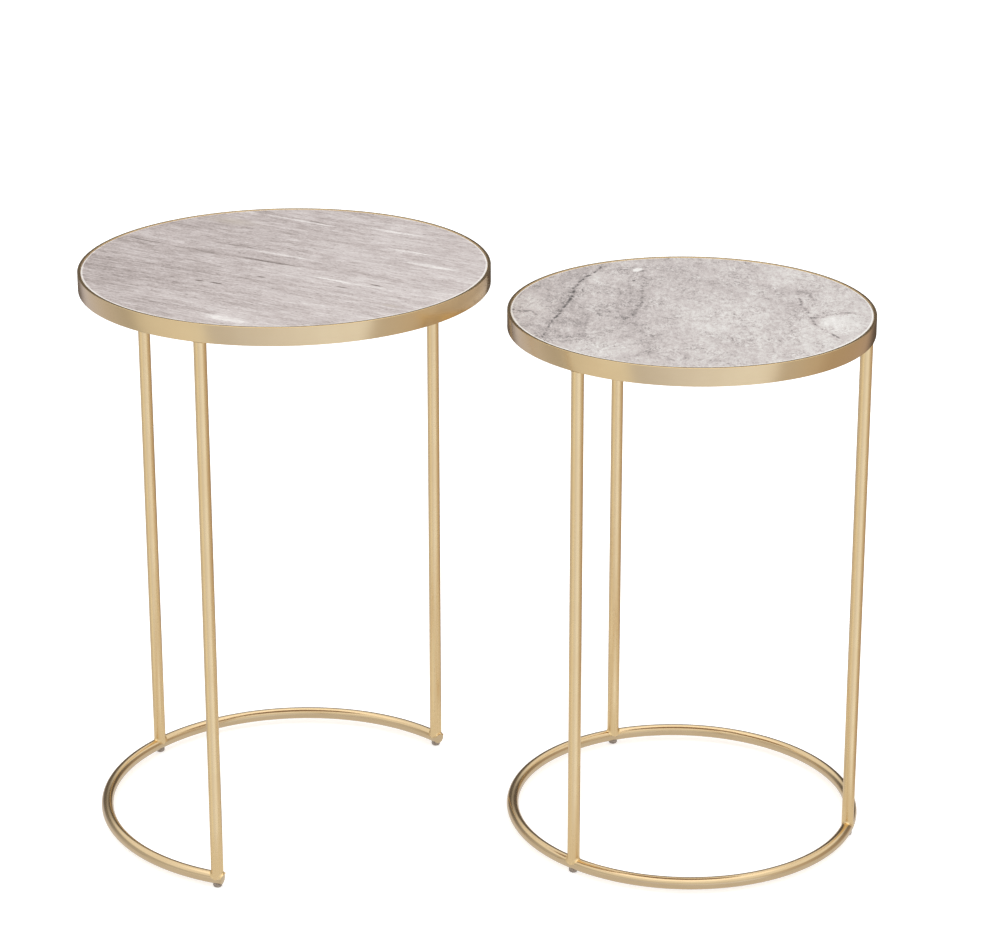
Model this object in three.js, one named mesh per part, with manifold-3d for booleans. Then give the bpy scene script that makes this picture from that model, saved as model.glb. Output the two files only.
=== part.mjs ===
// Two round nesting tables: a large one on an open floor ring, and a small one that slides in under it.
// Millimetres, +Z up. The origin is on the floor, under the middle of the pair as it stands side by side.
import * as THREE from 'three';
import { mergeVertices } from 'three/addons/utils/BufferGeometryUtils.js';
import Module from 'manifold-3d';

// ---- Driving dimensions ----
const LARGE_TABLE = { radius: 210, height: 607 };
const SMALL_TABLE = { radius: 187.5, height: 566 };
const GAP_BETWEEN_TOPS = 17;

// Leg bearings in degrees, anticlockwise from +X seen from above.
const LARGE_LEGS = { front: -110, right: 43.8, back_left: 142.4 };
const SMALL_LEGS = { right: -17.5, back_left: 111.9, front_left: 229 };

// Pieces that touch on the real table stand this far apart.
const FIT_GAP = 0.3;

const BAND_HEIGHT = 19;
const BAND_THICKNESS = 3;
const MARBLE_THICKNESS = 10;
const MARBLE_RECESS = 0.5;
const MARBLE_BEVEL = 1;

const TUBE_RADIUS = 6.35;
const TUBE_WALL = 1.2;
const FLOOR_CLEARANCE = 3.5;
// How far the open ring runs on past the middle of the legs at its two ends.
const RING_END_OVERHANG = 6.6;
const END_CAP_THICKNESS = 1.5;
const END_CAP_SPIGOT_RADIUS = 4.2;
const END_CAP_SPIGOT_LENGTH = 2.4;

const TAB_THICKNESS = 3;
const TAB_WIDTH = 36;
const TAB_DEPTH = 26;
const TAB_CORNER_RADIUS = 5;

const SCREW_INSET = 18;
const SCREW_SHANK_RADIUS = 2;
const SCREW_LENGTH = 7.3;
const SCREW_HEAD_RADIUS = 4;
const SCREW_HEAD_HEIGHT = 2.4;
const SCREW_HEAD_CROWN = 1;
const SCREW_SLOT = { length: 4.4, width: 1, depth: 1.2 };

const GLIDE_RADIUS = 4.8;
const GLIDE_DOME_HEIGHT = 2.4;
const GLIDE_FOOT_RADIUS = 2.4;
const GLIDE_STEM_RADIUS = 2;
const GLIDE_STEM_REACH = 4;

// Facets round the table, round a tube, round a bore and round the small turned pieces.
const TABLE_STEPS = 72;
const TUBE_SIDES = 12;
const BORE_SIDES = 8;
const TURNED_STEPS = 12;
const DOME_STEPS = 3;

// ---- Sizes and places worked out from them ----
const RING_Z = FLOOR_CLEARANCE + TUBE_RADIUS;
const HOLE_RADIUS = SCREW_SHANK_RADIUS + FIT_GAP;
const BOARD_THICKNESS = BAND_HEIGHT - MARBLE_RECESS - MARBLE_THICKNESS - TAB_THICKNESS - 2 * FIT_GAP;
const SCREW_HOLE_DEPTH = SCREW_LENGTH - TAB_THICKNESS - FIT_GAP;
// The front edges of the two tops lie on one line across the pair.
const FRONT_OFFSET = LARGE_TABLE.radius - SMALL_TABLE.radius;
const CENTRE_DISTANCE = LARGE_TABLE.radius + SMALL_TABLE.radius + GAP_BETWEEN_TOPS;
const SIDE_OFFSET = Math.sqrt(CENTRE_DISTANCE ** 2 - FRONT_OFFSET ** 2);
const PAIR_LENGTH = LARGE_TABLE.radius + SIDE_OFFSET + SMALL_TABLE.radius;

const wasm = await Module();
wasm.setup();

// ---- Materials ----
function standard(color, roughness, metalness) {
  return new THREE.MeshStandardMaterial({ color, roughness, metalness });
}
const MATERIALS = {
  marble: standard(0xcbc2bf, 0.25, 0),
  board: standard(0xa98a63, 0.8, 0),
  frame: standard(0xd9bf94, 0.35, 1),
  screw: standard(0xb4b6b8, 0.35, 1),
  glide: standard(0xd5d8d6, 0.3, 0),
};

// ---- Solids ----
// A closed geometry as a solid. Triangles that shrink to a line on a lathe's axis are left out.
function toSolid(geometry) {
  geometry.deleteAttribute('normal');
  geometry.deleteAttribute('uv');
  const merged = mergeVertices(geometry, 1e-4);
  const index = merged.index.array;
  const triangles = [];
  for (let i = 0; i < index.length; i += 3) {
    const [a, b, c] = index.slice(i, i + 3);
    if (a !== b && b !== c && c !== a) triangles.push(a, b, c);
  }
  const vertProperties = new Float32Array(merged.attributes.position.array);
  const triVerts = new Uint32Array(triangles);
  return new wasm.Manifold(new wasm.Mesh({ numProp: 3, vertProperties, triVerts }));
}

function toMesh(name, solid, materialName) {
  const { vertProperties, triVerts } = solid.getMesh();
  const geometry = new THREE.BufferGeometry();
  geometry.setAttribute('position', new THREE.BufferAttribute(vertProperties, 3));
  geometry.setIndex(new THREE.BufferAttribute(triVerts, 1));
  geometry.computeVertexNormals();
  const mesh = new THREE.Mesh(geometry, MATERIALS[materialName]);
  mesh.name = name;
  return mesh;
}

// Turns an outline of [radius, height] points, anticlockwise in that plane, about Z.
function turned(outline, steps) {
  const points = outline.map(([radius, height]) => new THREE.Vector2(radius, height));
  return toSolid(new THREE.LatheGeometry(points, steps).rotateX(Math.PI / 2));
}

function hoop(inner, outer, low, high) {
  return turned([[inner, low], [outer, low], [outer, high], [inner, high], [inner, low]], TABLE_STEPS);
}

function upright(radius, low, high, sides) {
  const cylinder = new THREE.CylinderGeometry(radius, radius, high - low, sides);
  return toSolid(cylinder.rotateX(Math.PI / 2).translate(0, 0, (low + high) / 2));
}

// A round bar along +Y, between two distances from the origin.
function alongRing(radius, from, to) {
  const cylinder = new THREE.CylinderGeometry(radius, radius, to - from, TUBE_SIDES);
  return toSolid(cylinder.rotateY(Math.PI / 2).translate(0, (from + to) / 2, 0));
}

// A round bar bent into a level circle at the floor ring's height.
function roundBarRing(ringRadius, barRadius, sides) {
  const outline = [];
  for (let side = 0; side <= sides; side += 1) {
    const angle = (2 * Math.PI * (side % sides)) / sides;
    outline.push([ringRadius + barRadius * Math.cos(angle), RING_Z + barRadius * Math.sin(angle)]);
  }
  return turned(outline, TABLE_STEPS);
}

// An upright wedge with its edge on Z, between two bearings in radians.
function wedge(from, to, radius, height) {
  const shape = new THREE.Shape();
  shape.moveTo(0, 0);
  shape.lineTo(radius * Math.cos(from), radius * Math.sin(from));
  shape.absarc(0, 0, radius, from, to, false);
  shape.closePath();
  return toSolid(new THREE.ExtrudeGeometry(shape, { depth: height, bevelEnabled: false }));
}

// ---- One table, about its own upright axis ----
class Table {
  constructor(prefix, { radius, height }, legs, ringIsOpen) {
    this.prefix = prefix;
    this.radius = radius;
    this.height = height;
    this.legs = legs;
    this.ringIsOpen = ringIsOpen;
    this.ringRadius = radius - TUBE_RADIUS;
    this.bandInner = radius - BAND_THICKNESS;
    this.bandUnderside = height - BAND_HEIGHT;
    this.slabRadius = this.bandInner - FIT_GAP;
    this.boardUnderside = this.bandUnderside + TAB_THICKNESS + FIT_GAP;
    this.screwRadius = this.bandInner - SCREW_INSET;
    this.group = new THREE.Group();
    this.addTop();
    this.addRing();
    for (const [place, bearing] of Object.entries(legs)) {
      this.addLeg(place, THREE.MathUtils.degToRad(bearing));
    }
  }

  add(name, solid, materialName) {
    const mesh = toMesh(`${this.prefix}_${name}`, solid, materialName);
    this.group.add(mesh);
    return mesh;
  }

  // Puts a piece that was made in the XZ plane, at +X, on a leg's bearing.
  addAt(bearing, name, solid, materialName) {
    this.add(name, solid, materialName).rotation.z = bearing;
  }

  addTop() {
    const top = this.height - MARBLE_RECESS;
    const marbleOutline = [
      [0, top - MARBLE_THICKNESS],
      [this.slabRadius, top - MARBLE_THICKNESS],
      [this.slabRadius, top - MARBLE_BEVEL],
      [this.slabRadius - MARBLE_BEVEL, top],
      [0, top],
    ];
    this.add('marble_top', turned(marbleOutline, TABLE_STEPS), 'marble');
    this.add('rim_band', hoop(this.bandInner, this.radius, this.bandUnderside, this.height), 'frame');

    const low = this.boardUnderside;
    const high = low + BOARD_THICKNESS;
    let board = turned([[0, low], [this.slabRadius, low], [this.slabRadius, high], [0, high]], TABLE_STEPS);
    for (const bearing of Object.values(this.legs)) {
      const hole = upright(HOLE_RADIUS, low - 1, low + SCREW_HOLE_DEPTH, TURNED_STEPS);
      const angle = THREE.MathUtils.degToRad(bearing);
      const offset = [this.screwRadius * Math.cos(angle), this.screwRadius * Math.sin(angle), 0];
      board = board.subtract(hole.translate(offset));
    }
    this.add('backing_board', board, 'board');
  }

  addRing() {
    let ring = roundBarRing(this.ringRadius, TUBE_RADIUS, TUBE_SIDES);
    ring = ring.subtract(roundBarRing(this.ringRadius, TUBE_RADIUS - TUBE_WALL, BORE_SIDES));
    for (const bearing of Object.values(this.legs)) {
      const angle = THREE.MathUtils.degToRad(bearing);
      const offset = [this.ringRadius * Math.cos(angle), this.ringRadius * Math.sin(angle), 0];
      ring = ring.subtract(upright(HOLE_RADIUS, 0, RING_Z, TURNED_STEPS).translate(offset));
    }
    if (this.ringIsOpen) {
      const capReach = END_CAP_THICKNESS + FIT_GAP;
      const [first, second] = [this.legs.front, this.legs.right].map(THREE.MathUtils.degToRad);
      const overhang = (RING_END_OVERHANG - capReach) / this.ringRadius;
      ring = ring.subtract(wedge(first + overhang, second - overhang, this.radius * 2, RING_Z * 2));
      this.addEndCap('ring_end_cap_front', first, 1);
      this.addEndCap('ring_end_cap_right', second, -1);
    }
    this.add('floor_ring', ring, 'frame');
  }

  // The cap closes the ring past a leg. Its disk faces along the ring, anticlockwise for a turn of 1.
  addEndCap(name, bearing, turn) {
    const disk = alongRing(TUBE_RADIUS, RING_END_OVERHANG - END_CAP_THICKNESS, RING_END_OVERHANG);
    const spigotEnd = RING_END_OVERHANG - END_CAP_THICKNESS / 2;
    const spigotStart = RING_END_OVERHANG - END_CAP_THICKNESS - END_CAP_SPIGOT_LENGTH;
    const cap = disk.add(alongRing(END_CAP_SPIGOT_RADIUS, spigotStart, spigotEnd));
    const facing = turn > 0 ? cap : cap.rotate([180, 0, 0]);
    this.addAt(bearing, name, facing.translate([this.ringRadius, 0, RING_Z]), 'frame');
  }

  addLeg(place, bearing) {
    const outer = upright(TUBE_RADIUS, RING_Z, this.bandUnderside - FIT_GAP, TUBE_SIDES);
    const bore = upright(TUBE_RADIUS - TUBE_WALL, 0, this.height, TUBE_SIDES);
    const saddle = roundBarRing(this.ringRadius, TUBE_RADIUS + FIT_GAP, TUBE_SIDES);
    const leg = outer.subtract(bore).translate([this.ringRadius, 0, 0]).subtract(saddle);
    this.addAt(bearing, `leg_${place}`, leg, 'frame');
    this.addAt(bearing, `support_tab_${place}`, this.tab(), 'frame');
    this.addAt(bearing, `tab_screw_${place}`, this.screw(), 'screw');
    this.addAt(bearing, `glide_${place}`, this.glide(saddle), 'glide');
  }

  // A plate inside the band and over a leg, with its outer edge on the band's curve.
  tab() {
    const outerRadius = this.bandInner - 2 * FIT_GAP;
    const half = TAB_WIDTH / 2;
    const halfAngle = Math.asin(half / outerRadius);
    const shape = new THREE.Shape();
    shape.absarc(0, 0, outerRadius, -halfAngle, halfAngle, false);
    const cornerX = outerRadius - TAB_DEPTH + TAB_CORNER_RADIUS;
    const cornerY = half - TAB_CORNER_RADIUS;
    shape.absarc(cornerX, cornerY, TAB_CORNER_RADIUS, Math.PI / 2, Math.PI, false);
    shape.absarc(cornerX, -cornerY, TAB_CORNER_RADIUS, Math.PI, 1.5 * Math.PI, false);
    shape.closePath();
    const settings = { depth: TAB_THICKNESS, bevelEnabled: false, curveSegments: 4 };
    const plate = toSolid(new THREE.ExtrudeGeometry(shape, settings));
    const hole = upright(HOLE_RADIUS, -1, TAB_THICKNESS + 1, TURNED_STEPS);
    return plate.subtract(hole.translate([this.screwRadius, 0, 0])).translate([0, 0, this.bandUnderside]);
  }

  // A pan-head screw from below the tab up into the board, with a cross recess in its head.
  screw() {
    const outline = [
      [0, -SCREW_HEAD_HEIGHT],
      [SCREW_HEAD_RADIUS - SCREW_HEAD_CROWN, -SCREW_HEAD_HEIGHT],
      [SCREW_HEAD_RADIUS, SCREW_HEAD_CROWN - SCREW_HEAD_HEIGHT],
      [SCREW_HEAD_RADIUS, 0],
      [SCREW_SHANK_RADIUS, 0],
      [SCREW_SHANK_RADIUS, SCREW_LENGTH],
      [0, SCREW_LENGTH],
    ];
    const { length, width, depth } = SCREW_SLOT;
    const across = toSolid(new THREE.BoxGeometry(length, width, 2 * depth));
    const recess = across.add(across.rotate([0, 0, 90])).translate([0, 0, -SCREW_HEAD_HEIGHT]);
    const screw = turned(outline, TURNED_STEPS).subtract(recess);
    return screw.translate([this.screwRadius, 0, this.bandUnderside - FIT_GAP]);
  }

  // A domed foot that cups the underside of the ring, with a stem up through the ring's wall.
  glide(saddle) {
    const outline = [[0, 0]];
    for (let step = 0; step <= DOME_STEPS; step += 1) {
      const angle = (Math.PI / 2) * (step / DOME_STEPS);
      const radius = GLIDE_FOOT_RADIUS + (GLIDE_RADIUS - GLIDE_FOOT_RADIUS) * Math.sin(angle);
      outline.push([radius, GLIDE_DOME_HEIGHT * (1 - Math.cos(angle))]);
    }
    outline.push([GLIDE_RADIUS, RING_Z], [0, RING_Z]);
    const cup = turned(outline, TURNED_STEPS).translate([this.ringRadius, 0, 0]).subtract(saddle);
    const stemTop = FLOOR_CLEARANCE + TUBE_WALL + GLIDE_STEM_REACH;
    const stem = upright(GLIDE_STEM_RADIUS, GLIDE_DOME_HEIGHT / 2, stemTop, TURNED_STEPS);
    return cup.add(stem.translate([this.ringRadius, 0, 0]));
  }
}

const large = new Table('large', LARGE_TABLE, LARGE_LEGS, true);
large.group.position.x = LARGE_TABLE.radius - PAIR_LENGTH / 2;

const small = new Table('small', SMALL_TABLE, SMALL_LEGS, false);
small.group.position.set(PAIR_LENGTH / 2 - SMALL_TABLE.radius, -FRONT_OFFSET, 0);

const nestingTables = new THREE.Group();
nestingTables.add(large.group, small.group);

export default nestingTables;
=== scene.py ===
"""Two round nesting tables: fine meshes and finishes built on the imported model. Metres, +Z up."""

import math

import bpy
import bmesh
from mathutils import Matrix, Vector


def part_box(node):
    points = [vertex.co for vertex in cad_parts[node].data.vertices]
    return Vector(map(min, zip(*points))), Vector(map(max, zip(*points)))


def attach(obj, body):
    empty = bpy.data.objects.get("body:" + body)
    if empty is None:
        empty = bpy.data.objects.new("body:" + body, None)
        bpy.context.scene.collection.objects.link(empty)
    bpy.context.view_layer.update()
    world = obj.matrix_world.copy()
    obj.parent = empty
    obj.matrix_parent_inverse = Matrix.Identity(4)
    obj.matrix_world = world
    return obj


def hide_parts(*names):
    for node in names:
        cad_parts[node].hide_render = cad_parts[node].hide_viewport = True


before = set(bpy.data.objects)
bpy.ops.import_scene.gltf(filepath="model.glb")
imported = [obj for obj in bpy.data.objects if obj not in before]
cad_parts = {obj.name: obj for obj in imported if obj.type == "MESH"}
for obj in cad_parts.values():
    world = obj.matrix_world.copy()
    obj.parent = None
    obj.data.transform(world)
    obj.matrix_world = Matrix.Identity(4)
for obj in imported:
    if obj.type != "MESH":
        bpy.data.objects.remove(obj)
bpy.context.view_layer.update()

# ---- Sizes ----
BAND_THICKNESS = 0.003
BAND_EDGE = 0.0005
BAND_INNER_EDGE = 0.00015
MARBLE_GAP = 0.0003
MARBLE_RECESS = 0.0005
MARBLE_THICKNESS = 0.010
MARBLE_BEVEL = 0.0012
TUBE_WALL = 0.0012
RING_END_OVERHANG = 0.0066
END_CAP_THICKNESS = 0.0015
END_CAP_FLATNESS = 0.6
TAB_THICKNESS = 0.003
TAB_WIDTH = 0.036
TAB_DEPTH = 0.026
TAB_CORNER = 0.005
TAB_EDGE = 0.0004
SCREW_HEAD_RADIUS = 0.004
SCREW_HEAD_HEIGHT = 0.0024
SCREW_HEAD_CROWN = 0.0014
SCREW_TIP_RADIUS = 0.0005
SCREW_SLOT_LENGTH = 0.0046
SCREW_SLOT_WIDTH = 0.0010
SCREW_SLOT_DEPTH = 0.0013
SCREW_SLOT_TAPER = 0.6
GLIDE_RADIUS = 0.0048
GLIDE_FOOT_RADIUS = 0.0026
GLIDE_DOME_HEIGHT = 0.0024
WELD_SIZE = 0.0022
WELD_LEAST = 0.00001
# Where a leg is nearly flush with the ring, the share of the gap beside it that its weld takes up.
WELD_FILL = 0.85
# The gap or edge break where two pieces meet.
SEAM = 0.00006

# Points round a table, round a tube, round a small corner, and over the other curves.
ROUND_STEPS = 288
TUBE_STEPS = 48
CORNER_STEPS = 5
CAP_STEPS = 10
DOME_STEPS = 8
TAB_STEPS = 8
WELD_STEPS = 6
# The loops across a marble top's flat and over a glide's cup, as shares of the radius.
TOP_LOOPS = (0.97, 0.85, 0.6, 0.3)
GLIDE_LOOPS = (1.0, 0.75, 0.5, 0.25)


# ---- Meshes ----
def add_object(name, data):
    """Stands a mesh or a camera in the scene."""
    thing = bpy.data.objects.new(name, data)
    bpy.context.scene.collection.objects.link(thing)
    return thing


class Shell:
    """Collects closed surfaces, given as rows of points, into one mesh."""

    def __init__(self):
        self.points = []
        self.faces = []

    def bridge(self, loops, wrap=False):
        """Joins closed loops of equal length, each to the next. A loop of one point is a pole."""
        starts = []
        for loop in loops:
            starts.append(len(self.points))
            self.points.extend(loop)
        pairs = list(zip(range(len(loops)), range(1, len(loops))))
        if wrap:
            pairs.append((len(loops) - 1, 0))
        for a, b in pairs:
            self._join(starts[a], len(loops[a]), starts[b], len(loops[b]))
        return self

    def _join(self, a, count_a, b, count_b):
        count = max(count_a, count_b)
        for i in range(count):
            j = (i + 1) % count
            if count_a == 1:
                self.faces.append((a, b + j, b + i))
            elif count_b == 1:
                self.faces.append((a + i, a + j, b))
            else:
                self.faces.append((a + i, a + j, b + j, b + i))

    def build(self, name, material, sharp_degrees=32):
        """Makes the mesh's object. Edges that turn by more than the given angle stay sharp."""
        mesh = bpy.data.meshes.new(name)
        mesh.from_pydata([tuple(p) for p in self.points], [], self.faces)
        work = bmesh.new()
        work.from_mesh(mesh)
        bmesh.ops.recalc_face_normals(work, faces=work.faces)
        work.to_mesh(mesh)
        work.free()
        mesh.shade_smooth()
        mesh.set_sharp_from_angle(angle=math.radians(sharp_degrees))
        mesh.materials.append(material)
        return add_object(name, mesh)


def circle(centre, radius, z, steps=ROUND_STEPS):
    """A level circle of points."""
    turn = 2 * math.pi / steps
    return [
        Vector((centre.x + radius * math.cos(i * turn), centre.y + radius * math.sin(i * turn), z))
        for i in range(steps)
    ]


def quarter(cx, cy, radius, start, steps=CORNER_STEPS):
    """A quarter of a circle in an outline, anticlockwise from a bearing in degrees."""
    angles = [math.radians(start + 90 * i / (steps - 1)) for i in range(steps)]
    return [(cx + radius * math.cos(a), cy + radius * math.sin(a)) for a in angles]


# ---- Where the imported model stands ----
class Leg:
    """A leg's axis in plan, and the ways out from the table's centre and along its ring."""

    def __init__(self, node, centre):
        low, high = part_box(node)
        self.node = node
        self.place = node.split("_leg_")[1]
        self.axis = Vector(((low.x + high.x) / 2, (low.y + high.y) / 2, 0))
        self.out = (self.axis - centre).normalized()
        self.along = Vector((-self.out.y, self.out.x, 0))
        self.bearing = math.atan2(self.out.y, self.out.x)


class Table:
    """One table's sizes and legs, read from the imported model."""

    def __init__(self, prefix):
        self.prefix = prefix
        self.body = prefix + "_table"
        low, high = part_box(prefix + "_rim_band")
        self.centre = Vector(((low.x + high.x) / 2, (low.y + high.y) / 2, 0))
        self.radius = (high.x - low.x) / 2
        self.band_low, self.top = low.z, high.z
        low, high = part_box(prefix + "_floor_ring")
        self.tube = (high.z - low.z) / 2
        self.ring_z = (high.z + low.z) / 2
        self.ring_radius = self.radius - self.tube
        names = [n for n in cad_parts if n.startswith(prefix + "_leg_")]
        self.legs = [Leg(n, self.centre) for n in sorted(names)]

    def node(self, name):
        return f"{self.prefix}_{name}"

    def place(self, thing, node, slot):
        """Stands a fine mesh in for its CAD node."""
        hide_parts(node)
        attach(thing, self.body)

    def ring_height(self, point):
        """How far the ring tube's surface stands above its middle over a point in plan."""
        offset = (Vector((point.x, point.y, 0)) - self.centre).length - self.ring_radius
        return math.sqrt(max(0.0, self.tube**2 - offset**2))


# ---- Pieces of one table ----
def rim_band(table, material):
    low, high, outer, inner = table.band_low, table.top, BAND_EDGE, BAND_INNER_EDGE
    bore = table.radius - BAND_THICKNESS
    outline = quarter(table.radius - outer, low + outer, outer, 270)
    outline += quarter(table.radius - outer, high - outer, outer, 0)
    outline += quarter(bore + inner, high - inner, inner, 90)
    outline += quarter(bore + inner, low + inner, inner, 180)
    loops = [circle(table.centre, r, z) for r, z in outline]
    thing = Shell().bridge(loops, wrap=True).build(table.node("rim_band_fine"), material)
    table.place(thing, table.node("rim_band"), "brass_frame")


def marble_top(table, material):
    radius = table.radius - BAND_THICKNESS - MARBLE_GAP
    high = table.top - MARBLE_RECESS
    low = high - MARBLE_THICKNESS
    edge = quarter(radius - MARBLE_BEVEL, high - MARBLE_BEVEL, MARBLE_BEVEL, 0)
    outline = [(radius - MARBLE_BEVEL, low), (radius, low + MARBLE_BEVEL)] + edge
    outline += [(radius * share, high) for share in TOP_LOOPS]
    loops = [[Vector((table.centre.x, table.centre.y, low))]]
    loops += [circle(table.centre, r, z) for r, z in outline]
    loops.append([Vector((table.centre.x, table.centre.y, high))])
    thing = Shell().bridge(loops).build(table.node("marble_top_fine"), material)
    table.place(thing, table.node("marble_top"), table.prefix + "_marble")


def backing_board(table, material):
    low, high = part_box(table.node("backing_board"))
    radius = table.radius - BAND_THICKNESS - MARBLE_GAP
    outline = [(radius - TAB_EDGE, low.z), (radius, low.z + TAB_EDGE), (radius, high.z)]
    loops = [[Vector((table.centre.x, table.centre.y, low.z))]]
    loops += [circle(table.centre, r, z) for r, z in outline]
    loops.append([Vector((table.centre.x, table.centre.y, high.z))])
    thing = Shell().bridge(loops).build(table.node("backing_board_fine"), material)
    table.place(thing, table.node("backing_board"), "fibreboard")


def ring_middle(table, bearing):
    """The middle of the ring's tube at a bearing."""
    out = Vector((math.cos(bearing), math.sin(bearing), 0))
    return table.centre + out * table.ring_radius + Vector((0, 0, table.ring_z))


def ring_section(table, bearing, radius):
    """A circle round the middle of the ring's tube, square to the ring."""
    out = Vector((math.cos(bearing), math.sin(bearing), 0))
    middle = ring_middle(table, bearing)
    turn = 2 * math.pi / TUBE_STEPS
    return [
        middle + out * (radius * math.cos(i * turn)) + Vector((0, 0, radius * math.sin(i * turn)))
        for i in range(TUBE_STEPS)
    ]


def closed_ring(table):
    turn = 2 * math.pi / ROUND_STEPS
    return [ring_section(table, i * turn, table.tube) for i in range(ROUND_STEPS)]


def open_ring(table):
    """Sections out along the tube's outside and back along its bore."""
    start, end = open_ring_ends(table, RING_END_OVERHANG - END_CAP_THICKNESS - SEAM)
    steps = round(ROUND_STEPS * (end - start) / (2 * math.pi))
    edge = SEAM / table.ring_radius
    bore = table.tube - TUBE_WALL
    sections = [ring_section(table, start, bore), ring_section(table, start, table.tube - SEAM)]
    for i in range(steps + 1):
        bearing = start + edge + (end - start - 2 * edge) * i / steps
        sections.append(ring_section(table, bearing, table.tube))
    sections.append(ring_section(table, end, table.tube - SEAM))
    for i in range(steps):
        sections.append(ring_section(table, end + (start - end) * i / steps, bore))
    return sections


def floor_ring(table, material):
    sections = open_ring(table) if table.prefix == "large" else closed_ring(table)
    thing = Shell().bridge(sections, wrap=True).build(table.node("floor_ring_fine"), material)
    table.place(thing, table.node("floor_ring"), "brass_frame")


def open_ring_ends(table, overhang):
    """The bearings of the open ring's two ends, anticlockwise from the right leg to the front one."""
    bearings = {leg.place: leg.bearing for leg in table.legs}
    reach = overhang / table.ring_radius
    return bearings["right"] - reach, bearings["front"] + reach + 2 * math.pi


def end_caps(table, material):
    """Low domes that close the open ring's two ends."""
    inner = open_ring_ends(table, RING_END_OVERHANG - END_CAP_THICKNESS)
    outer = open_ring_ends(table, RING_END_OVERHANG)
    edge = SEAM / table.ring_radius
    for place, low, high in zip(("right", "front"), inner, outer):
        turn = 1 if high > low else -1
        stations = [(low, table.tube - SEAM)]
        for step in range(CAP_STEPS):
            angle = math.pi / 2 * step / CAP_STEPS
            rise = edge + (abs(high - low) - edge) * math.sin(angle)
            stations.append((low + turn * rise, table.tube * math.cos(angle) ** END_CAP_FLATNESS))
        loops = [[ring_middle(table, low)]]
        loops += [ring_section(table, bearing, radius) for bearing, radius in stations]
        loops.append([ring_middle(table, high)])
        name = table.node(f"ring_end_cap_{place}")
        thing = Shell().bridge(loops).build(name + "_fine", material, sharp_degrees=60)
        table.place(thing, name, "brass_frame")


def round_leg(leg, radius, height):
    """A loop round the leg. Its radius and height are numbers, or functions of where on the loop."""
    loop = []
    for i in range(TUBE_STEPS):
        angle = 2 * math.pi * i / TUBE_STEPS
        wide = radius(angle) if callable(radius) else radius
        point = leg.axis + leg.out * (wide * math.cos(angle)) + leg.along * (wide * math.sin(angle))
        point.z = height(point, angle) if callable(height) else height
        loop.append(point)
    return loop


def weld_width(table, angle):
    """A weld's width round a leg: full at the sides, next to none where the leg is flush with the ring."""
    slack = WELD_FILL * table.tube
    across = max(abs(math.cos(angle)), slack / (WELD_SIZE + slack))
    return slack * (1 / across - 1) + WELD_LEAST


def weld(shell, table, leg, foot, turn):
    """A hollow-faced weld bead in the corner between a leg and the surface at its foot or head."""
    def face(share):
        def width(angle):
            return table.tube + weld_width(table, angle) * share**2

        def height(point, angle):
            return foot(point, angle) + turn * weld_width(table, angle) * (1 - share) ** 2

        return round_leg(leg, width, height)

    inside = round_leg(leg, table.tube - TUBE_WALL / 2, foot)
    shell.bridge([face(i / WELD_STEPS) for i in range(WELD_STEPS + 1)] + [inside], wrap=True)


def legs(table, material):
    """Open tubes from the ring up to the band, shaped to the ring's round, with a weld at each end."""
    def on_ring(point, angle):
        return table.ring_z + table.ring_height(point)

    def on_band(point, angle):
        return table.band_low

    bore = table.tube - TUBE_WALL
    outline = ((table.tube, on_ring), (table.tube, on_band), (bore, on_band), (bore, on_ring))
    for leg in table.legs:
        shell = Shell()
        shell.bridge([round_leg(leg, radius, height) for radius, height in outline], wrap=True)
        weld(shell, table, leg, on_ring, 1)
        weld(shell, table, leg, on_band, -1)
        thing = shell.build(leg.node + "_fine", material, sharp_degrees=50)
        table.place(thing, leg.node, "brass_frame")


def tab_outline(outer, inset):
    """A tab in plan, out along its leg's bearing: curved to the band outside, round-cornered inside."""
    half_angle = math.asin(TAB_WIDTH / 2 / outer) - inset / outer
    points = []
    for i in range(TAB_STEPS + 1):
        angle = half_angle * (2 * i / TAB_STEPS - 1)
        points.append(((outer - inset) * math.cos(angle), (outer - inset) * math.sin(angle)))
    cx, cy = outer - TAB_DEPTH + TAB_CORNER, TAB_WIDTH / 2 - TAB_CORNER
    points += quarter(cx, cy, TAB_CORNER - inset, 90)
    points += quarter(cx, -cy, TAB_CORNER - inset, 180)
    return points


def support_tabs(table, material):
    outer = table.radius - BAND_THICKNESS - 2 * MARBLE_GAP
    low, high = table.band_low, table.band_low + TAB_THICKNESS
    levels = ((TAB_EDGE, low), (0, low + TAB_EDGE), (0, high - TAB_EDGE), (TAB_EDGE, high))
    for leg in table.legs:
        middle = table.centre + leg.out * (outer - TAB_DEPTH / 2)
        loops = [[middle + Vector((0, 0, low))]]
        for inset, z in levels:
            base = table.centre + Vector((0, 0, z))
            loops.append([base + leg.out * x + leg.along * y for x, y in tab_outline(outer, inset)])
        loops.append([middle + Vector((0, 0, high))])
        name = table.node(f"support_tab_{leg.place}")
        table.place(Shell().bridge(loops).build(name + "_fine", material), name, "brass_frame")


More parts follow.
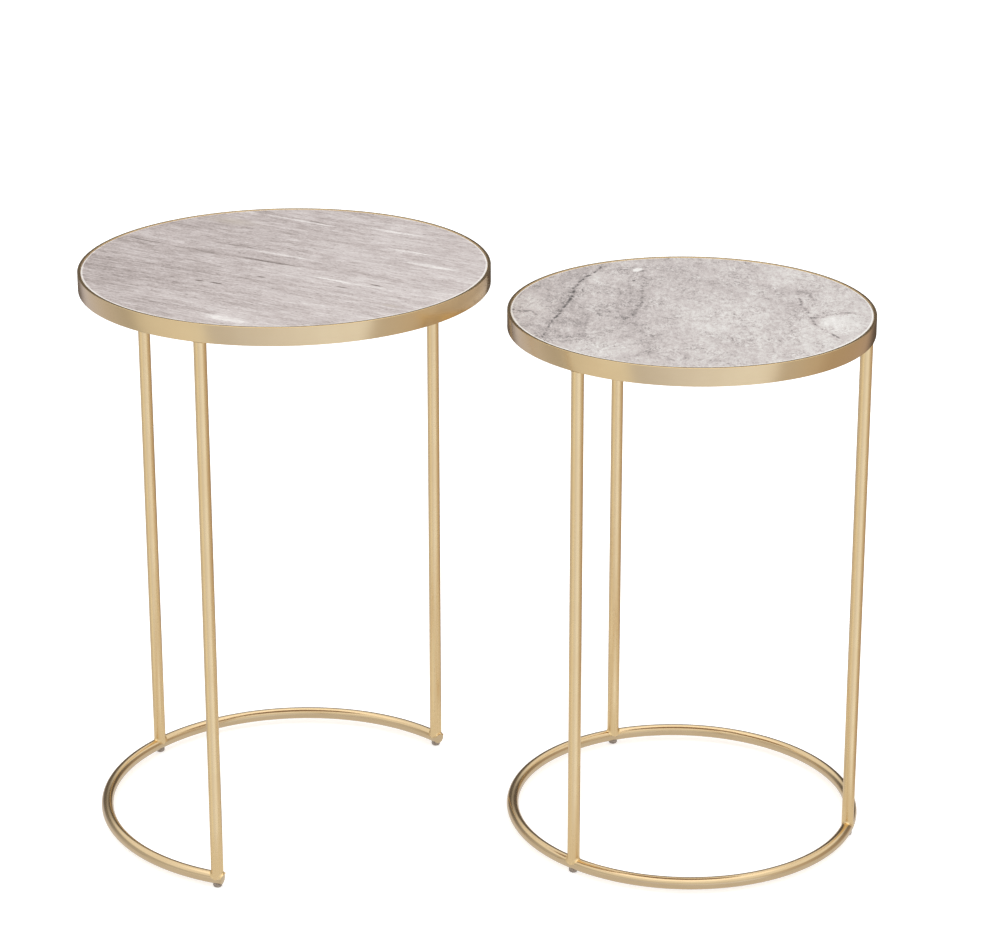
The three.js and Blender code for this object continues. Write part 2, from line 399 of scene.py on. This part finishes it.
def tab_screws(table, material):
    shank = SCREW_HEAD_RADIUS / 2
    rim = SCREW_HEAD_RADIUS - SCREW_HEAD_CROWN
    for leg in table.legs:
        name = table.node(f"tab_screw_{leg.place}")
        low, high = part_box(name)
        axis = Vector(((low.x + high.x) / 2, (low.y + high.y) / 2, 0))
        seat = low.z + SCREW_HEAD_HEIGHT
        outline = quarter(rim, low.z + SCREW_HEAD_CROWN, SCREW_HEAD_CROWN, 270)
        outline += [(SCREW_HEAD_RADIUS, seat), (shank, seat)]
        outline += [(shank, high.z - shank), (SCREW_TIP_RADIUS, high.z)]
        loops = [[axis + Vector((0, 0, low.z))]]
        loops += [circle(axis, r, z, TUBE_STEPS) for r, z in outline]
        loops.append([axis + Vector((0, 0, high.z))])
        thing = Shell().bridge(loops).build(name + "_fine", material)
        cut_cross(thing, axis + Vector((0, 0, low.z)), leg)
        table.place(thing, name, "zinc_screw")


def cut_cross(screw, middle, leg):
    """Cuts a cross recess up into a screw head."""
    work = bmesh.new()
    for long_way, short_way in ((leg.out, leg.along), (leg.along, leg.out)):
        corners = []
        for z, shrink in ((-SCREW_SLOT_DEPTH, 1.0), (SCREW_SLOT_DEPTH, SCREW_SLOT_TAPER)):
            for x, y in ((-1, -1), (1, -1), (1, 1), (-1, 1)):
                point = middle + long_way * (x * shrink * SCREW_SLOT_LENGTH / 2)
                point = point + short_way * (y * SCREW_SLOT_WIDTH / 2) + Vector((0, 0, z))
                corners.append(work.verts.new(point))
        for side in ((0, 1, 2, 3), (7, 6, 5, 4), (0, 4, 5, 1), (1, 5, 6, 2), (2, 6, 7, 3), (3, 7, 4, 0)):
            work.faces.new([corners[i] for i in side])
    bmesh.ops.recalc_face_normals(work, faces=work.faces)
    mesh = bpy.data.meshes.new("cross_cutter")
    work.to_mesh(mesh)
    work.free()
    cutter = add_object("cross_cutter", mesh)
    cut = screw.modifiers.new("cross", "BOOLEAN")
    cut.operation = "DIFFERENCE"
    cut.solver = "EXACT"
    cut.use_self = True
    cut.object = cutter
    bpy.context.view_layer.update()
    graph = bpy.context.evaluated_depsgraph_get()
    finished = bpy.data.meshes.new_from_object(screw.evaluated_get(graph))
    screw.modifiers.clear()
    screw.data = finished
    bpy.data.objects.remove(cutter)


def glides(table, material):
    """Domed feet that cup the underside of the ring."""
    def under_ring(point, angle):
        return table.ring_z - table.ring_height(point) - SEAM

    dome_width = GLIDE_RADIUS - GLIDE_FOOT_RADIUS
    for leg in table.legs:
        loops = [[leg.axis.copy()]]
        for r, drop in quarter(GLIDE_FOOT_RADIUS, 0.0, dome_width, 270, DOME_STEPS):
            loops.append(round_leg(leg, r, GLIDE_DOME_HEIGHT * (1 + drop / dome_width)))
        for share in GLIDE_LOOPS:
            loops.append(round_leg(leg, GLIDE_RADIUS * share, under_ring))
        top = leg.axis.copy()
        top.z = under_ring(top, 0)
        loops.append([top])
        name = table.node(f"glide_{leg.place}")
        table.place(Shell().bridge(loops).build(name + "_fine", material), name, "clear_glide")


# ---- Shader nodes ----
class Nodes:
    """Adds shader nodes with short calls. A value is a number, a tuple or another node's socket."""

    def __init__(self, tree):
        self.tree = tree

    def add(self, kind, values=None, **settings):
        node = self.tree.nodes.new("ShaderNode" + kind)
        for name, setting in settings.items():
            setattr(node, name, setting)
        for key, value in (values or {}).items():
            self.put(node.inputs[key], value)
        return node

    def put(self, socket, value):
        if isinstance(value, bpy.types.NodeSocket):
            self.tree.links.new(value, socket)
        else:
            socket.default_value = value

    def math(self, operation, a, b=0.0):
        return self.add("Math", {0: a, 1: b}, operation=operation).outputs[0]

    def vector(self, operation, a, b=(0.0, 0.0, 0.0)):
        node = self.add("VectorMath", {0: a, 1: b}, operation=operation)
        single = operation in ("LENGTH", "DOT_PRODUCT", "DISTANCE")
        return node.outputs["Value" if single else "Vector"]

    def parts(self, vector):
        return self.add("SeparateXYZ", {0: vector}).outputs

    def join(self, x, y, z):
        return self.add("CombineXYZ", {0: x, 1: y, 2: z}).outputs[0]

    def fit(self, value, low, high, to_low=0.0, to_high=1.0):
        """Eases a value from low..high to to_low..to_high, held at both ends."""
        values = {0: value, 1: low, 2: high, 3: to_low, 4: to_high}
        return self.add("MapRange", values, interpolation_type="SMOOTHSTEP").outputs[0]

    def noise(self, place, scale=1.0, detail=2.0, rough=0.5, warp=0.0):
        values = {"Vector": place, "Scale": scale, "Detail": detail, "Roughness": rough, "Distortion": warp}
        return self.add("TexNoise", values).outputs[0]

    def mix(self, share, a, b, blend="MIX"):
        node = self.add("Mix", {0: share, 6: a, 7: b}, data_type="RGBA", blend_type=blend)
        return node.outputs[2]

    def ramp(self, value, stops):
        """A colour ramp through (position, colour) stops."""
        node = self.add("ValToRGB", {0: value})
        band = node.color_ramp
        while len(band.elements) < len(stops):
            band.elements.new(1.0)
        for element, (position, colour) in zip(band.elements, stops):
            element.position = position
            element.color = (*colour, 1.0)
        return node.outputs[0]

    def total(self, values):
        result = values[0]
        for value in values[1:]:
            result = self.math("ADD", result, value)
        return result


def new_material(name, **plain):
    """A material with its Principled shader, whose even values are set on the shader itself."""
    material = bpy.data.materials.new(name)
    material.use_nodes = True
    nodes = Nodes(material.node_tree)
    shader = material.node_tree.nodes["Principled BSDF"]
    for key, value in plain.items():
        shader.inputs[key.replace("_", " ")].default_value = value
    return material, nodes, shader


def object_place(nodes, centre=(0.0, 0.0, 0.0)):
    place = nodes.add("TexCoord").outputs["Object"]
    return nodes.vector("SUBTRACT", place, tuple(centre))


def relief(nodes, shader, height, strength, distance):
    bump = nodes.add("Bump", {"Strength": strength, "Distance": distance, "Height": height})
    nodes.put(shader.inputs["Normal"], bump.outputs[0])


# ---- Metal, board and plastic ----
# Each brass: pale and deep colour, roughness, and how far the brushing stretches what it mirrors. All three
# are one plating: the legs' colours are painted paler and the ring's darker than the band's, as painted
# light and painted shade.
BAND_BRASS = ((0.770, 0.588, 0.335), (0.715, 0.530, 0.290), 0.21, 0.5)
RING_BRASS = ((0.705, 0.545, 0.330), (0.630, 0.475, 0.270), 0.15, 0.1)
LEG_BRASS = ((0.890, 0.670, 0.355), (0.840, 0.610, 0.305), 0.27, 0.75)
# How fine the brushing is across its lines, and how quickly the lines change round a table or up a leg.
BRUSH_FINENESS = 2600.0
BRUSH_ROUND = 5.0
BRUSH_UP = 14.0


def brushed_brass(name, table, brass, around=True):
    """Satin brass, brushed round the table's axis, or along the legs."""
    pale, deep, middling, stretch = brass
    material, nodes, shader = new_material(name, Metallic=1.0, Anisotropic=stretch)
    place = object_place(nodes, table.centre)
    x, y, z = nodes.parts(place)
    if around:
        flat = nodes.join(x, y, 0.0)
        turn = nodes.vector("MULTIPLY", nodes.vector("NORMALIZE", flat), (BRUSH_ROUND,) * 3)
        sweep = nodes.vector("ADD", turn, nodes.join(0.0, 0.0, nodes.math("MULTIPLY", z, BRUSH_FINENESS)))
        reach = nodes.math("MULTIPLY", nodes.vector("LENGTH", flat), BRUSH_FINENESS)
        values = {"Vector": sweep, "W": reach, "Scale": 1.0, "Detail": 3.0, "Roughness": 0.6}
        brush = nodes.add("TexNoise", values, noise_dimensions="4D").outputs[0]
        along = nodes.vector("CROSS_PRODUCT", (0.0, 0.0, 1.0), flat)
    else:
        drawn = nodes.vector("MULTIPLY", place, (BRUSH_FINENESS, BRUSH_FINENESS, BRUSH_UP))
        brush = nodes.noise(drawn, detail=3.0, rough=0.6)
        along = (0.0, 0.0, 1.0)
    normal = nodes.add("NewGeometry").outputs["Normal"]
    nodes.put(shader.inputs["Tangent"], nodes.vector("CROSS_PRODUCT", normal, along))
    cloud = nodes.noise(place, scale=26.0, detail=4.0, rough=0.6)
    tone = nodes.math("ADD", nodes.fit(brush, 0.25, 0.75, 0.0, 0.20), nodes.fit(cloud, 0.3, 0.7, 0.0, 0.35))
    nodes.put(shader.inputs["Base Color"], nodes.mix(tone, (*pale, 1.0), (*deep, 1.0)))
    smear = nodes.fit(cloud, 0.25, 0.75, middling - 0.02, middling + 0.03)
    streaky = nodes.fit(brush, 0.25, 0.75, -0.02, 0.03)
    nodes.put(shader.inputs["Roughness"], nodes.math("ADD", smear, streaky))
    relief(nodes, shader, brush, 0.05, 0.00004)
    return material


def fibreboard_brown():
    material, nodes, shader = new_material("fibreboard_brown", Specular_IOR_Level=0.3)
    place = object_place(nodes)
    drawn = nodes.vector("MULTIPLY", place, (900.0, 350.0, 900.0))
    fibres = nodes.noise(drawn, detail=4.0, rough=0.7, warp=0.8)
    cloud = nodes.noise(place, scale=18.0, detail=3.0)
    tone = nodes.math("ADD", nodes.math("MULTIPLY", fibres, 0.7), nodes.math("MULTIPLY", cloud, 0.3))
    stops = ((0.30, (0.13, 0.080, 0.045)), (0.5, (0.27, 0.175, 0.105)), (0.72, (0.43, 0.31, 0.20)))
    nodes.put(shader.inputs["Base Color"], nodes.ramp(tone, stops))
    nodes.put(shader.inputs["Roughness"], nodes.fit(fibres, 0.3, 0.7, 0.68, 0.86))
    relief(nodes, shader, fibres, 0.3, 0.0002)
    return material


def zinc_grey():
    material, nodes, shader = new_material("zinc_grey", Metallic=1.0)
    place = object_place(nodes)
    grain = nodes.noise(place, scale=2400.0, detail=3.0, rough=0.65)
    cloud = nodes.noise(place, scale=320.0, detail=2.0)
    stops = ((0.35, (0.42, 0.42, 0.43)), (0.65, (0.62, 0.63, 0.65)))
    nodes.put(shader.inputs["Base Color"], nodes.ramp(cloud, stops))
    nodes.put(shader.inputs["Roughness"], nodes.fit(grain, 0.3, 0.7, 0.28, 0.46))
    relief(nodes, shader, grain, 0.15, 0.00005)
    return material


def clear_plastic():
    material, nodes, shader = new_material("clear_plastic", IOR=1.47, Transmission_Weight=0.25)
    place = object_place(nodes)
    haze = nodes.noise(place, scale=420.0, detail=3.0)
    scuffs = nodes.fit(nodes.noise(place, scale=1500.0, detail=2.0, warp=1.5), 0.55, 0.72)
    stops = ((0.35, (0.26, 0.21, 0.17)), (0.65, (0.36, 0.30, 0.24)))
    nodes.put(shader.inputs["Base Color"], nodes.ramp(haze, stops))
    worn = nodes.math("MULTIPLY", scuffs, 0.2)
    nodes.put(shader.inputs["Roughness"], nodes.math("ADD", nodes.fit(haze, 0.3, 0.7, 0.22, 0.34), worn))
    relief(nodes, shader, scuffs, 0.15, 0.00005)
    return material


# ---- Marble ----
GRAIN_ANGLE = 30
LARGE_MARBLE_TONES = (
    (0.00, (0.180, 0.148, 0.138)),
    (0.30, (0.442, 0.387, 0.378)),
    (0.50, (0.595, 0.537, 0.532)),
    (0.70, (0.716, 0.669, 0.665)),
    (1.00, (0.920, 0.900, 0.885)),
)
SMALL_MARBLE_TONES = (
    (0.00, (0.130, 0.122, 0.122)),
    (0.28, (0.442, 0.401, 0.398)),
    (0.50, (0.627, 0.579, 0.574)),
    (0.68, (0.746, 0.728, 0.714)),
    (1.00, (0.940, 0.935, 0.925)),
)
# Streaks in the large marble: changes per metre across and along the grain, strength, detail.
LARGE_MARBLE_STREAKS = (
    (22.0, 4.5, 0.50, 2.0),
    (120.0, 14.0, 0.62, 3.0),
    (380.0, 60.0, 0.90, 3.0),
    (900.0, 260.0, 0.80, 2.0),
)
# Marks in the large marble: middle across and back, half length along the grain, half width, tone.
# Tones add to a slab's even grey: below zero is darker, above zero paler.
LARGE_MARBLE_MARKS = (
    (-0.074, 0.044, 0.070, 0.0090, -0.16),
    (-0.016, 0.009, 0.046, 0.0036, -0.46),
    (-0.150, 0.088, 0.036, 0.0024, -0.42),
    (-0.060, 0.072, 0.050, 0.0022, -0.30),
    (-0.010, 0.036, 0.066, 0.0038, 0.38),
    (0.008, 0.160, 0.062, 0.0036, 0.40),
    (0.113, 0.116, 0.050, 0.0038, 0.42),
    (0.126, 0.044, 0.040, 0.0036, 0.38),
    (0.148, -0.008, 0.046, 0.0050, 0.36),
    (0.060, -0.060, 0.060, 0.0030, 0.22),
    (-0.047, -0.180, 0.034, 0.0090, 0.36),
    (-0.052, 0.192, 0.020, 0.0070, 0.30),
    (-0.022, -0.044, 0.007, 0.0024, -0.66),
    (-0.064, -0.066, 0.009, 0.0030, -0.60),
    (-0.082, -0.056, 0.008, 0.0026, -0.56),
    (0.060, -0.077, 0.009, 0.0022, -0.50),
    (0.094, -0.072, 0.010, 0.0022, -0.56),
)
# Beige stains in the large marble, along its grain: middle, half length, half width.
LARGE_MARBLE_STAINS = ((-0.137, 0.106, 0.045, 0.018), (0.167, -0.064, 0.016, 0.005))
STAIN = (0.56, 0.50, 0.43, 1.0)
# Mottling of the small marble: changes per metre across and back, strength, detail.
SMALL_MARBLE_MOTTLES = (
    (24.0, 5.0, 0.30, 2.0),
    (90.0, 40.0, 0.45, 3.0),
    (260.0, 120.0, 0.55, 3.0),
    (760.0, 420.0, 0.55, 3.0),
)
# Nets of hairlines in the small marble: changes per metre, width as a share of the noise, tone.
SMALL_MARBLE_HAIRLINES = ((60.0, 0.032, -0.30), (95.0, 0.036, -0.22), (75.0, 0.034, 0.24))
# Veins in the small marble: width, tone, and points across and back.
SMALL_MARBLE_VEINS = (
    (0.0026, -0.58, ((-0.088, 0.150), (-0.097, 0.126), (-0.109, 0.104), (-0.116, 0.078), (-0.124, 0.030))),
    (0.0022, -0.46, ((-0.124, 0.030), (-0.134, -0.010), (-0.150, -0.066), (-0.152, -0.092))),
    (0.0040, -0.22, ((-0.045, 0.140), (-0.043, 0.104), (-0.046, 0.068), (-0.050, 0.025))),
    (0.0036, -0.26, ((-0.050, 0.025), (-0.057, -0.008), (-0.068, -0.032))),
    (0.0034, -0.20, ((-0.107, -0.031), (-0.112, -0.086))),
    (0.0026, -0.36, ((0.115, 0.064), (0.112, 0.030), (0.116, -0.011))),
    (0.0026, -0.32, ((0.115, 0.060), (0.126, 0.054), (0.124, 0.036), (0.113, 0.030))),
    (0.0026, -0.40, ((0.118, -0.028), (0.128, -0.030), (0.140, -0.016), (0.154, -0.010), (0.166, -0.014))),
    (0.0028, -0.46, ((0.118, -0.028), (0.122, -0.050), (0.128, -0.068), (0.141, -0.094))),
    (0.0024, -0.50, ((-0.183, 0.000), (-0.174, -0.006), (-0.164, -0.004), (-0.158, -0.016))),
)
# Paler and darker patches in the small marble: middle across and back, half sizes, tone.
SMALL_MARBLE_PATCHES = (
    (0.018, -0.010, 0.044, 0.090, 0.09),
    (-0.166, 0.015, 0.022, 0.060, 0.12),
    (-0.092, 0.112, 0.020, 0.036, 0.10),
    (0.146, -0.050, 0.027, 0.034, 0.15),
    (0.162, -0.022, 0.008, 0.008, 0.16),
    (-0.049, 0.140, 0.006, 0.007, 0.60),
    (-0.100, -0.125, 0.050, 0.030, 0.12),
    (0.100, 0.120, 0.030, 0.045, 0.10),
    (-0.060, 0.010, 0.020, 0.100, -0.06),
    (0.098, 0.020, 0.014, 0.080, -0.05),
    (-0.115, -0.020, 0.014, 0.060, -0.06),
)
HONED = {"IOR": 1.5, "Specular_IOR_Level": 0.4}
EVEN_TONE = 0.5
# Painted light: how fast a slab gets paler towards the right, and towards the back, per metre, as if lit
# more from the right front.
PAINTED_LIGHT_RIGHT = 0.46
PAINTED_LIGHT_BACK = -0.20
# Width and tone of a painted highlight along a slab's arris, where light would catch its bevel.
ARRIS_HIGHLIGHT_WIDTH = 0.0014
ARRIS_HIGHLIGHT_TONE = 0.60


def oval(nodes, place, middle, half_sizes, soft=0.0):
    """1 in the middle of an oval, easing to 0 at its edge."""
    offset = nodes.vector("SUBTRACT", place, (*middle, 0.0))
    reach = nodes.vector("LENGTH", nodes.vector("DIVIDE", offset, (*half_sizes, 1.0)))
    return nodes.fit(reach, 1.0, soft)


def near_path(nodes, place, path, width):
    """1 on the line through some points, easing to 0 at the given width from it."""
    closest = None
    for start, end in zip(path, path[1:]):
        step = Vector((*end, 0.0)) - Vector((*start, 0.0))
        offset = nodes.vector("SUBTRACT", place, (*start, 0.0))
        share = nodes.vector("DOT_PRODUCT", offset, tuple(step / step.length_squared))
        held = nodes.add("Clamp", {0: share}).outputs[0]
        nearest = nodes.add("VectorMath", {0: tuple(step), "Scale": held}, operation="SCALE").outputs[0]
        gap = nodes.vector("DISTANCE", offset, nearest)
        closest = gap if closest is None else nodes.math("MINIMUM", closest, gap)
    return nodes.fit(closest, width, 0.0)


def warped(nodes, place, scale, reach):
    """The place moved about by noise, flat on the top, so that edges drawn from it wander."""
    drift = nodes.add("TexNoise", {"Vector": place, "Scale": scale, "Detail": 3.0}).outputs[1]
    drift = nodes.vector("SUBTRACT", drift, (0.5, 0.5, 0.5))
    moved = nodes.vector("ADD", place, nodes.vector("MULTIPLY", drift, (reach, reach, reach)))
    return nodes.vector("MULTIPLY", moved, (1.0, 1.0, 0.0))


def swing(nodes, value, gain):
    """Noise about zero, of a given strength."""
    return nodes.math("MULTIPLY", nodes.math("SUBTRACT", value, 0.5), gain)


def even_tone_and_painted_light(nodes, table, place):
    """The even tone every slab has, with painted light: paler towards its right front, and a painted
    highlight along its arris.
    """
    # Painted light: the slab gets paler towards its right front.
    drift = nodes.vector("DOT_PRODUCT", place, (PAINTED_LIGHT_RIGHT, PAINTED_LIGHT_BACK, 0.0))
    reach = nodes.vector("LENGTH", nodes.vector("MULTIPLY", place, (1.0, 1.0, 0.0)))
    edge = table.radius - BAND_THICKNESS - MARBLE_GAP - MARBLE_BEVEL
    # Painted highlight: a paler band along the arris.
    return [EVEN_TONE, drift, nodes.fit(reach, edge - ARRIS_HIGHLIGHT_WIDTH, edge, 0.0, ARRIS_HIGHLIGHT_TONE)]


def finish_marble(nodes, shader, place, tone, tones):
    """Colour from the tone, and the honed surface: faint pits, and polish that varies."""
    nodes.put(shader.inputs["Base Color"], nodes.ramp(tone, tones))
    cloud = nodes.noise(place, scale=38.0, detail=4.0)
    grain = nodes.noise(place, scale=1300.0, detail=3.0, rough=0.6)
    rough = nodes.math("ADD", nodes.fit(cloud, 0.3, 0.7, 0.34, 0.46), swing(nodes, grain, 0.12))
    nodes.put(shader.inputs["Roughness"], rough)
    relief(nodes, shader, nodes.math("ADD", nodes.math("MULTIPLY", grain, 0.5), cloud), 0.10, 0.0002)


def streaked_marble(table):
    """Pinkish-grey marble with fine straight streaks lying aslant."""
    material, nodes, shader = new_material("streaked_marble", **HONED)
    place = object_place(nodes, table.centre)
    slant = math.radians(GRAIN_ANGLE)
    turn = {"Vector": warped(nodes, place, 7.0, 0.012), "Angle": slant}
    along = nodes.add("VectorRotate", turn, rotation_type="Z_AXIS").outputs[0]
    layers = even_tone_and_painted_light(nodes, table, place)
    for across, length, gain, detail in LARGE_MARBLE_STREAKS:
        streaks = nodes.noise(nodes.vector("MULTIPLY", along, (length, across, 1.0)), detail=detail)
        layers.append(swing(nodes, streaks, gain))
    layers.append(swing(nodes, nodes.noise(place, scale=620.0, detail=3.0, rough=0.7), 0.35))
    flecks = nodes.noise(nodes.vector("MULTIPLY", along, (130.0, 520.0, 1.0)), detail=2.0)
    layers.append(nodes.fit(flecks, 0.64, 0.72, 0.0, -0.34))
    dashes = nodes.noise(nodes.vector("MULTIPLY", along, (60.0, 340.0, 1.0)))
    broken = nodes.fit(dashes, 0.28, 0.54, 0.40, 1.0)
    for x, y, half_length, half_width, tone in LARGE_MARBLE_MARKS:
        middle = (x * math.cos(slant) - y * math.sin(slant), x * math.sin(slant) + y * math.cos(slant))
        mark = oval(nodes, along, middle, (half_length, half_width), 0.35)
        layers.append(nodes.math("MULTIPLY", nodes.math("MULTIPLY", mark, broken), tone))
    finish_marble(nodes, shader, place, nodes.total(layers), LARGE_MARBLE_TONES)
    stain_marble(nodes, shader, along)
    return material


def stain_marble(nodes, shader, along):
    """Turns some ovals of the large marble beige, up to half way."""
    socket = shader.inputs["Base Color"]
    colour = socket.links[0].from_socket
    for x, y, half_length, half_width in LARGE_MARBLE_STAINS:
        stain = nodes.math("MULTIPLY", oval(nodes, along, (x, y), (half_length, half_width)), 0.5)
        colour = nodes.mix(stain, colour, STAIN)
    nodes.put(socket, colour)


def veined_marble(table):
    """Mottled marble with pale patches and broken dark veins."""
    material, nodes, shader = new_material("veined_marble", **HONED)
    place = object_place(nodes, table.centre)
    wander = warped(nodes, place, 45.0, 0.008)
    layers = even_tone_and_painted_light(nodes, table, place)
    for across, back, gain, detail in SMALL_MARBLE_MOTTLES:
        mottle = nodes.noise(nodes.vector("MULTIPLY", wander, (across, back, 1.0)), detail=detail, warp=0.3)
        layers.append(swing(nodes, mottle, gain))
    patchy = nodes.fit(nodes.noise(wander, 26.0, 2.0), 0.40, 0.62, 0.35, 1.0)
    for scale, width, tone in SMALL_MARBLE_HAIRLINES:
        ridge = nodes.math("SUBTRACT", nodes.noise(place, scale, 2.0, 0.6, warp=1.6), 0.5)
        line = nodes.fit(nodes.math("ABSOLUTE", ridge), width, 0.0)
        layers.append(nodes.math("MULTIPLY", nodes.math("MULTIPLY", line, patchy), tone))
    broken = nodes.fit(nodes.noise(place, scale=150.0, detail=3.0, rough=0.65), 0.42, 0.60, 0.12, 1.0)
    for width, tone, path in SMALL_MARBLE_VEINS:
        core = near_path(nodes, wander, path, width)
        halo = near_path(nodes, wander, path, width * 4.0)
        layers.append(nodes.math("MULTIPLY", nodes.math("MULTIPLY", core, broken), tone))
        layers.append(nodes.math("MULTIPLY", halo, tone * 0.16))
    blotchy = warped(nodes, place, 34.0, 0.018)
    for x, y, across, back, tone in SMALL_MARBLE_PATCHES:
        layers.append(nodes.math("MULTIPLY", oval(nodes, blotchy, (x, y), (across, back), 0.55), tone))
    finish_marble(nodes, shader, place, nodes.total(layers), SMALL_MARBLE_TONES)
    return material


# ---- Studio ----
CAMERA_PLACE = (0.0235, -3.0035, 1.5124)
CAMERA_PITCH = 18.85
CAMERA_LENS = 110.78
CAMERA_SHIFT = -0.1
# What stands round the tables, by bearing from the camera's side, positive to the right: degrees, colour.
LOW_WALLS = (
    (-180, (0.085, 0.065, 0.05)),
    (-155, (0.16, 0.135, 0.12)),
    (-140, (0.66, 0.66, 0.78)),
    (-112, (0.64, 0.63, 0.68)),
    (-92, (0.54, 0.54, 0.56)),
    (-82, (0.80, 0.80, 0.80)),
    (-62, (0.89, 0.89, 0.90)),
    (-43, (0.94, 0.96, 0.98)),
    (-38, (0.68, 0.71, 0.84)),
    (0, (0.88, 0.94, 1.14)),
    (30, (0.98, 1.06, 1.26)),
    (48, (0.98, 1.05, 1.24)),
    (54, (0.64, 0.63, 0.66)),
    (78, (0.66, 0.60, 0.55)),
    (92, (0.54, 0.46, 0.39)),
    (135, (0.52, 0.42, 0.37)),
    (150, (0.10, 0.078, 0.068)),
    (180, (0.075, 0.058, 0.046)),
)
HIGH_WALLS = (
    (-180, (0.13, 0.115, 0.105)),
    (-150, (0.17, 0.155, 0.145)),
    (-110, (0.55, 0.55, 0.56)),
    (-30, (0.80, 0.80, 0.80)),
    (40, (0.90, 0.90, 0.90)),
    (75, (0.66, 0.58, 0.50)),
    (115, (0.46, 0.39, 0.32)),
    (145, (0.17, 0.15, 0.14)),
    (180, (0.12, 0.105, 0.095)),
)
CEILING = (1.11, 1.10, 1.08, 1.0)
ZENITH = (1.56, 1.54, 1.51, 1.0)
NADIR = (0.80, 0.80, 0.84, 1.0)
# Where each part of the room gives way to the next, as the height of a direction of length 1.
TO_HIGH_WALLS = (-0.04, 0.16)
TO_CEILING = (0.40, 0.58)
TO_ZENITH = (0.80, 0.90)
TO_NADIR = (-0.60, -0.95)
WHITE = (1.0, 1.0, 1.0, 1.0)
BLACK = (0.0, 0.0, 0.0, 1.0)
FLOOR_HALF_SIZE = 40.0
FLOOR_HEIGHT = -0.0002
FLOOR_GLOW = 0.52
GLEAM = (0.76, 0.75, 0.77, 1.0)
GLEAM_HEIGHT = -0.0001
GLEAM_RADIUS = 0.8
GLEAM_REACH = 0.15


def walls(nodes, bearing, stops):
    """Colours by bearing, through stops given in degrees."""
    share = nodes.add("MapRange", {0: bearing, 1: -math.pi, 2: math.pi}).outputs[0]
    return nodes.ramp(share, [((degrees + 180) / 360, colour) for degrees, colour in stops])


def studio_light():
    """Soft light from all round: a bright ceiling over walls that differ by side, and white behind."""
    world = bpy.data.worlds.new("studio")
    bpy.context.scene.world = world
    world.use_nodes = True
    nodes = Nodes(world.node_tree)
    x, y, z = nodes.parts(nodes.add("TexCoord").outputs["Generated"])
    bearing = nodes.math("ARCTAN2", x, nodes.math("MULTIPLY", y, -1.0))
    low, high = walls(nodes, bearing, LOW_WALLS), walls(nodes, bearing, HIGH_WALLS)
    room = nodes.mix(nodes.fit(z, *TO_HIGH_WALLS), low, high)
    for span, colour in ((TO_CEILING, CEILING), (TO_ZENITH, ZENITH), (TO_NADIR, NADIR)):
        room = nodes.mix(nodes.fit(z, *span), room, colour)
    seen = nodes.add("LightPath").outputs["Is Camera Ray"]
    background = world.node_tree.nodes["Background"]
    nodes.put(background.inputs["Color"], nodes.mix(seen, room, WHITE))


def pale_floor():
    """A plain floor that catches soft shadows. Reflections don't see it."""
    mesh = bpy.data.meshes.new("floor")
    half = FLOOR_HALF_SIZE
    corners = [(-half, -half, 0), (half, -half, 0), (half, half, 0), (-half, half, 0)]
    mesh.from_pydata(corners, [], [(0, 1, 2, 3)])
    floor = add_object("floor", mesh)
    floor.location.z = FLOOR_HEIGHT
    floor.visible_glossy = False
    glow = {"Emission_Color": WHITE, "Emission_Strength": FLOOR_GLOW}
    material, nodes, shader = new_material("pale_floor", **glow)
    cloud = nodes.noise(object_place(nodes), scale=3.0, detail=2.0)
    stops = ((0.3, (0.85, 0.85, 0.85)), (0.7, (0.87, 0.87, 0.87)))
    nodes.put(shader.inputs["Base Color"], nodes.ramp(cloud, stops))
    nodes.put(shader.inputs["Roughness"], nodes.fit(cloud, 0.3, 0.7, 0.85, 0.95))
    mesh.materials.append(material)


def floor_gleam(tables):
    """The pale floor beside the rings, as the metal mirrors it. Only reflections see it."""
    mesh = bpy.data.meshes.new("floor_gleam")
    rim = circle(Vector((0, 0, 0)), GLEAM_RADIUS, 0.0)
    mesh.from_pydata([tuple(point) for point in rim], [], [tuple(range(ROUND_STEPS))])
    gleam = add_object("floor_gleam", mesh)
    gleam.location.z = GLEAM_HEIGHT
    gleam.visible_camera = False
    gleam.visible_diffuse = False
    gleam.visible_transmission = False
    gleam.visible_shadow = False
    glow = {"Emission_Color": GLEAM, "Emission_Strength": 1.0}
    material, nodes, shader = new_material("floor_gleam", Base_Color=BLACK, Specular_IOR_Level=0.0, **glow)
    gaps = []
    for table in tables:
        reach = nodes.vector("LENGTH", object_place(nodes, table.centre))
        gaps.append(nodes.math("ABSOLUTE", nodes.math("SUBTRACT", reach, table.ring_radius)))
    nodes.put(shader.inputs["Alpha"], nodes.fit(nodes.math("MINIMUM", *gaps), GLEAM_REACH, GLEAM_REACH / 3))
    mesh.materials.append(material)


def camera():
    lens = bpy.data.cameras.new("camera")
    lens.lens = CAMERA_LENS
    lens.sensor_width = 36.0
    lens.shift_y = CAMERA_SHIFT
    lens.clip_end = 200.0
    holder = add_object("camera", lens)
    holder.location = CAMERA_PLACE
    holder.rotation_euler = (math.radians(90 - CAMERA_PITCH), 0.0, 0.0)
    bpy.context.scene.camera = holder


# ---- Everything ----
MARBLES = {"large": streaked_marble, "small": veined_marble}


def main():
    camera()
    studio_light()
    pale_floor()
    tables = [Table(prefix) for prefix in MARBLES]
    floor_gleam(tables)
    board, zinc, plastic = fibreboard_brown(), zinc_grey(), clear_plastic()
    for table in tables:
        band_brass = brushed_brass(table.node("band_brass"), table, BAND_BRASS)
        ring_brass = brushed_brass(table.node("ring_brass"), table, RING_BRASS)
        leg_brass = brushed_brass(table.node("leg_brass"), table, LEG_BRASS, around=False)
        rim_band(table, band_brass)
        marble_top(table, MARBLES[table.prefix](table))
        backing_board(table, board)
        floor_ring(table, ring_brass)
        legs(table, leg_brass)
        support_tabs(table, leg_brass)
        tab_screws(table, zinc)
        glides(table, plastic)
        if table.prefix == "large":
            end_caps(table, ring_brass)
    bpy.context.scene.view_settings.view_transform = "Standard"


main()
